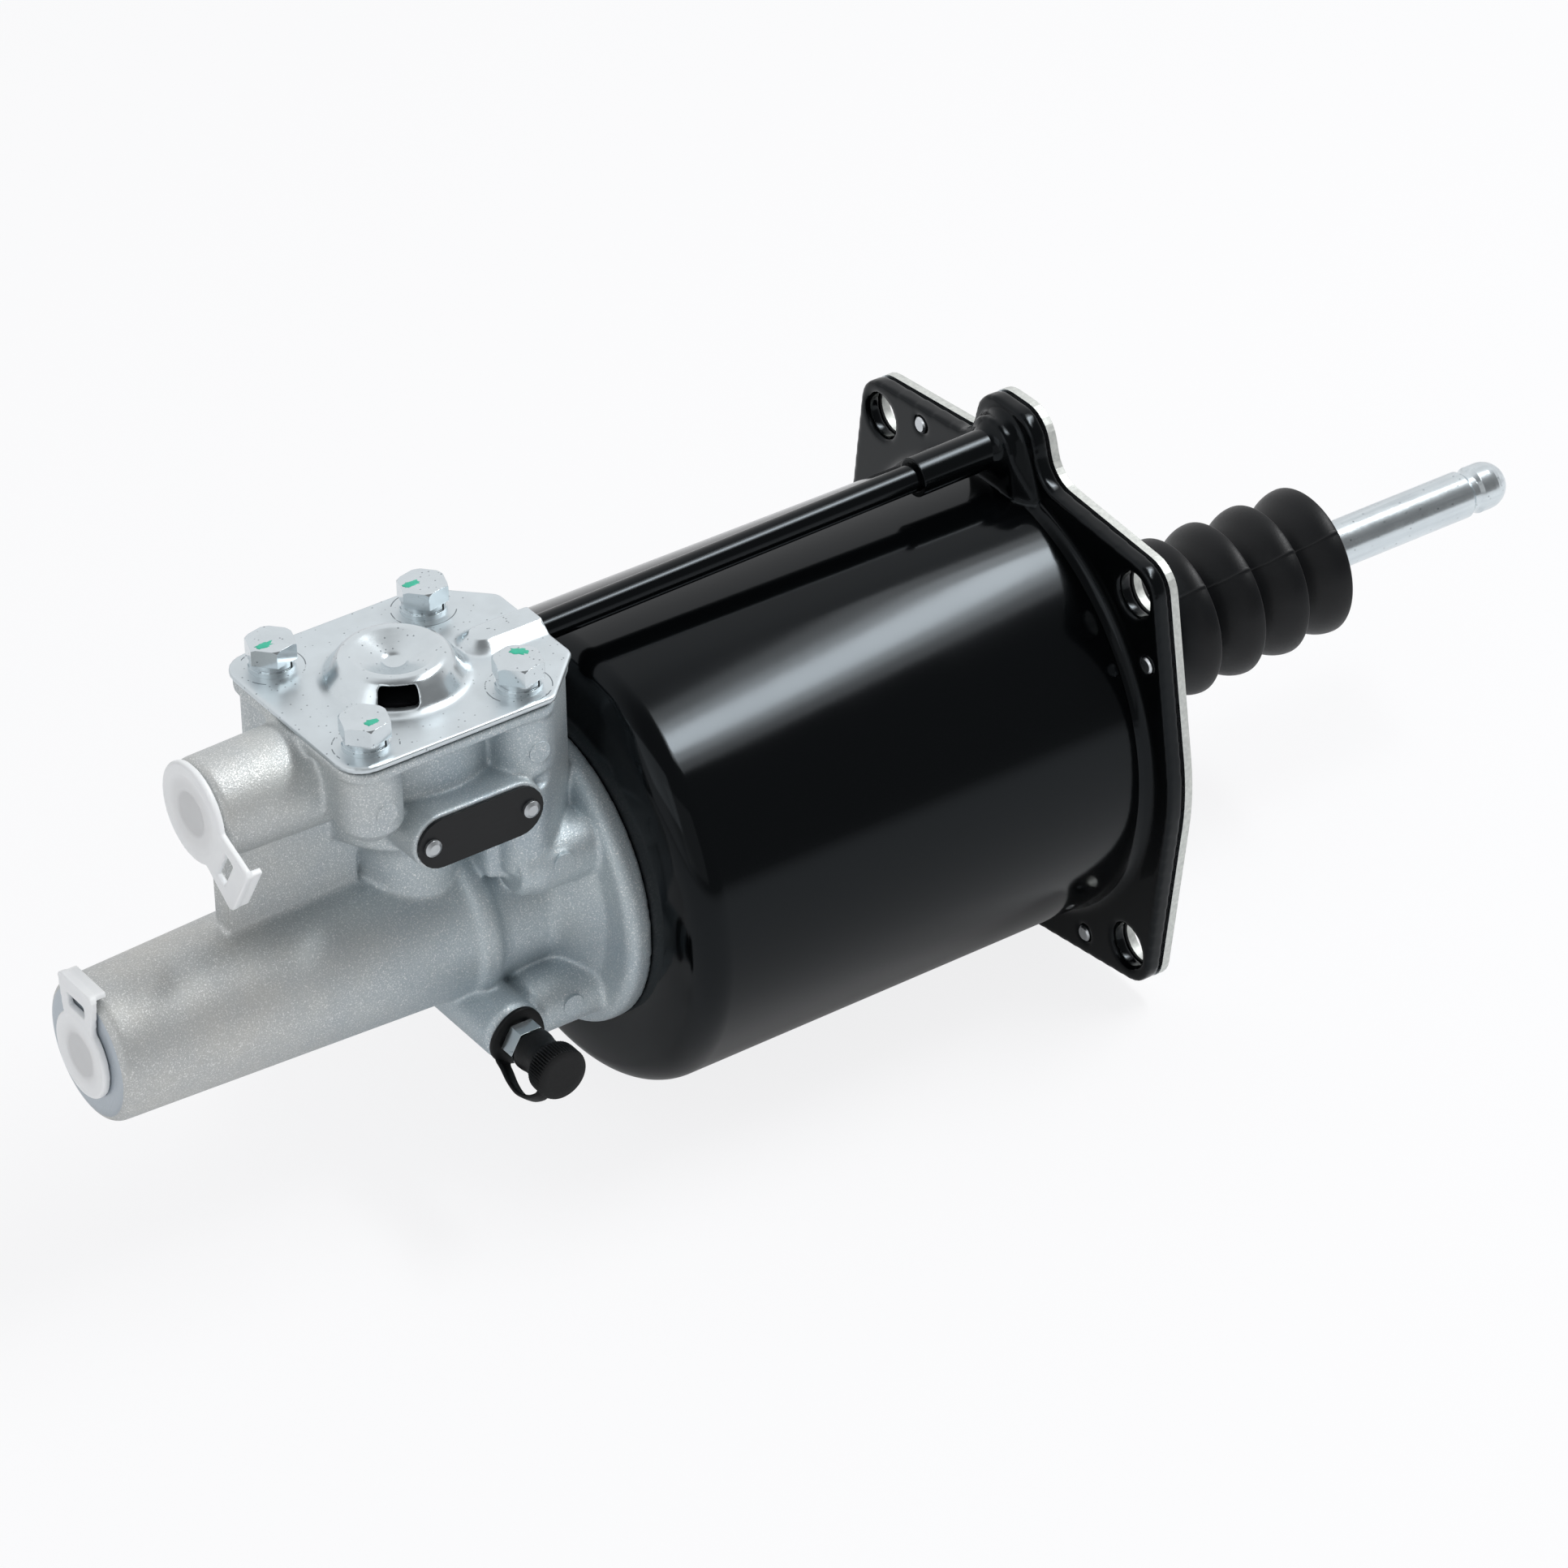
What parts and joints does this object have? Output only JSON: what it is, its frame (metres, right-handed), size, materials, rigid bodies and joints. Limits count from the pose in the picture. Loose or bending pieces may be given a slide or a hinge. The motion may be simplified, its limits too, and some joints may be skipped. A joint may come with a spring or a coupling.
{
  "type": "clutch servo",
  "caption": "Air-assisted hydraulic clutch servo: flanged air cylinder with push rod and boot, die-cast relay valve and oil cylinder housing.",
  "frame": {"origin": "centre of the four mounting holes on the front plate's outer face", "axes": "+X along the push rod away from the servo, +Z towards the valve cover, +Y completes a right-handed frame"},
  "size_m": [0.3892, 0.1226, 0.1345],
  "materials": {
    "black_paint": "gloss black paint",
    "zinc": "bright zinc plate",
    "casting": "shot-blasted die casting",
    "machined_aluminium": "turned",
    "steel": "bright steel",
    "brass": "turned",
    "rubber": "matt black rubber",
    "plug_plastic": "milky white plastic",
    "inner_plastic": "natural plastic",
    "plate_black": "satin black"
  },
  "bodies": {
    "servo": {"air_cylinder": "black_paint", "pipe_sleeve": "black_paint", "flange_seal": "rubber", "front_plate": "zinc", "plate_rivets": "zinc", "dust_boot": "rubber", "preload_spring": "steel", "gland_bush": "brass", "gland_seal": "rubber", "gland_circlip": "steel", "spigot_seal": "rubber", "cylinder_bolts": "steel", "valve_housing": "casting", "relay_spring": "steel", "valve_seat": "brass", "poppet_spring": "steel", "poppet_guide": "inner_plastic", "guide_circlip": "steel", "exhaust_flap": "rubber", "cover_gasket": "rubber", "valve_cover": "zinc", "cover_flat_washers": "zinc", "cover_spring_washers": "zinc", "cover_screws": "zinc", "breather_pipe": "black_paint", "data_plate": "plate_black", "data_plate_rivets": "machined_aluminium", "cap_strap": "rubber"},
    "piston": {"power_piston": "machined_aluminium", "piston_lip_seal": "rubber", "piston_guide_ring": "inner_plastic", "rod_retainer": "inner_plastic", "hydraulic_plunger": "steel"},
    "rod": {"push_rod": "zinc"},
    "relay": {"relay_piston": "machined_aluminium", "relay_seals": "rubber"},
    "poppet": {"poppet_valve": "rubber"},
    "bleeder": {"bleed_screw": "zinc"},
    "cap": {"bleed_cap": "rubber"},
    "oil_plug": {"inlet_plug": "plug_plastic"},
    "air_plug_body": {"air_plug": "plug_plastic"}
  },
  "joints": [
    {"name": "piston_stroke", "type": "slide", "parent": "servo", "child": "piston", "axis": [1, 0, 0], "range_m": [-0.006, 0.065], "deforming": ["preload_spring", "dust_boot"]},
    {"name": "push_rod_swing", "type": "hinge", "parent": "piston", "child": "rod", "pos_m": [-0.078, 0, 0], "axis": [0, 1, 0], "range_deg": [-2, 2], "deforming": ["dust_boot"]},
    {"name": "relay_lift", "type": "slide", "parent": "servo", "child": "relay", "axis": [0, 0, 1], "range_m": [0, 0.0024], "stiffness_N_per_m": 600, "deforming": ["relay_spring"]},
    {"name": "poppet_lift_slide", "type": "slide", "parent": "servo", "child": "poppet", "axis": [0, 0, 1], "range_m": [0, 0.0012], "stiffness_N_per_m": 300, "deforming": ["poppet_spring"]},
    {"name": "bleed_screw_turn", "type": "hinge", "parent": "servo", "child": "bleeder", "pos_m": [-0.157, 0, -0.0185], "axis": [0, -1, 0], "range_deg": [0, 270]},
    {"name": "bleed_cap_pull", "type": "slide", "parent": "servo", "child": "cap", "axis": [0, -1, 0], "range_m": [0, 0.018], "deforming": ["cap_strap"]},
    {"name": "inlet_plug_pull", "type": "slide", "parent": "servo", "child": "oil_plug", "axis": [-1, 0, 0], "range_m": [0, 0.045]},
    {"name": "air_plug_pull", "type": "slide", "parent": "servo", "child": "air_plug_body", "axis": [-1, 0, 0], "range_m": [0, 0.045]}
  ],
  "couplings": [
    {"joint": "poppet_lift_slide", "follows": "relay_lift", "ratio": 0.5}
  ]
}
